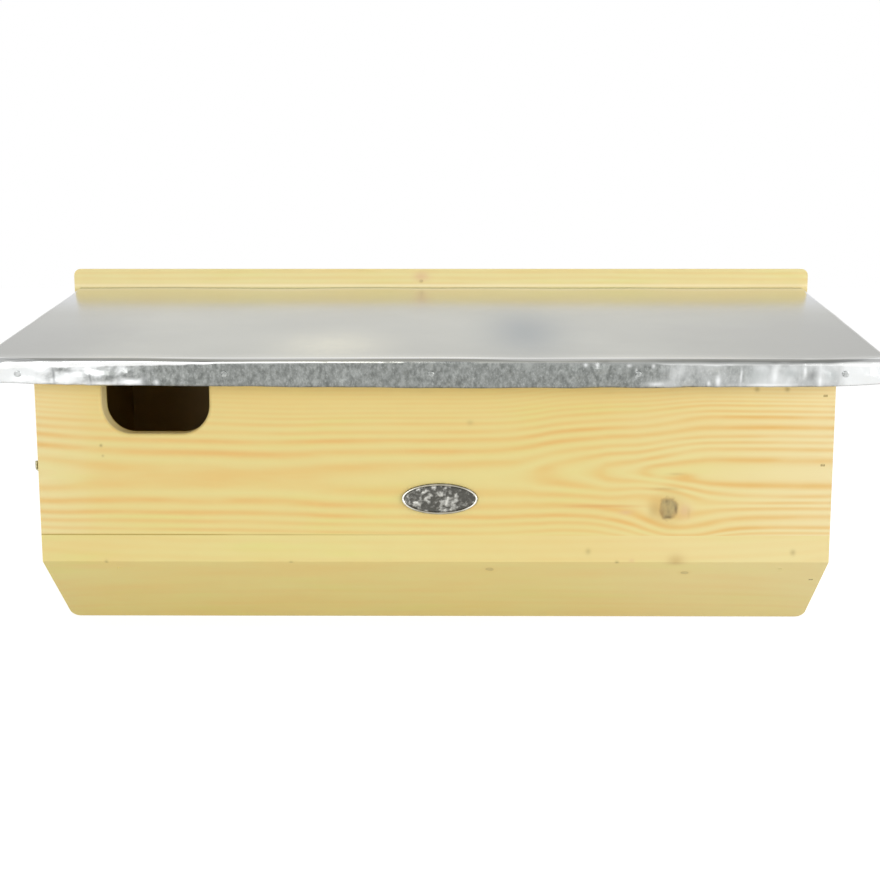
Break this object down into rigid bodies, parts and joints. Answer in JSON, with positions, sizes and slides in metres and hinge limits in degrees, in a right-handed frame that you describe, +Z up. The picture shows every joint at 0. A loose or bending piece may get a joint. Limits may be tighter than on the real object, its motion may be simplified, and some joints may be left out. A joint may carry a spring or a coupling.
{
  "type": "swift nest box",
  "caption": "Long wall-hung pine nest box for swifts: rounded entrance under the eaves, sloping underside, folded zinc roof and an end door that swings on nails behind a turn hook.",
  "frame": {"origin": "on the wall plane, at the bottom edge of the back board and half way along it", "axes": "+X to the viewer's right, +Y into the wall, +Z up"},
  "size_m": [0.5364, 0.2097, 0.226],
  "materials": {
    "pine": "bare planed pine",
    "zinc_sheet": "satin, dented at the folds",
    "plate_metal": "dark cast pewter look",
    "nail_wire": "plain wire",
    "clout_nails": "galvanised",
    "hook_wire": "yellowish zinc plating"
  },
  "bodies": {
    "box": {"back_board": "pine", "front_panel": "pine", "slope_board": "pine", "floor_board": "pine", "right_side_panel": "pine", "roof_board": "pine", "front_panel_nails": "nail_wire", "slope_end_nail": "nail_wire", "slope_front_nails": "nail_wire", "roof_front_nails": "nail_wire", "roof_side_nails": "nail_wire", "back_floor_nails": "nail_wire", "back_roof_nails": "nail_wire", "back_side_nails": "nail_wire", "floor_end_nails": "nail_wire", "front_pivot_nail": "nail_wire", "rear_pivot_nail": "nail_wire", "front_flap_nails": "clout_nails", "left_flap_nails": "clout_nails", "right_flap_nails": "clout_nails", "zinc_roof_sheet": "zinc_sheet", "oval_plate": "plate_metal"},
    "door": {"cleaning_door": "pine"},
    "hook": {"turn_hook": "hook_wire"}
  },
  "joints": [
    {"name": "door_hinge", "type": "hinge", "parent": "box", "child": "door", "pos_m": [-0.234, -0.093, 0.16], "axis": [0, 1, 0], "range_deg": [0, 85]},
    {"name": "hook_turn", "type": "hinge", "parent": "box", "child": "hook", "pos_m": [-0.24, -0.1775, 0.1044], "axis": [-1, 0, 0], "range_deg": [0, 90]}
  ]
}
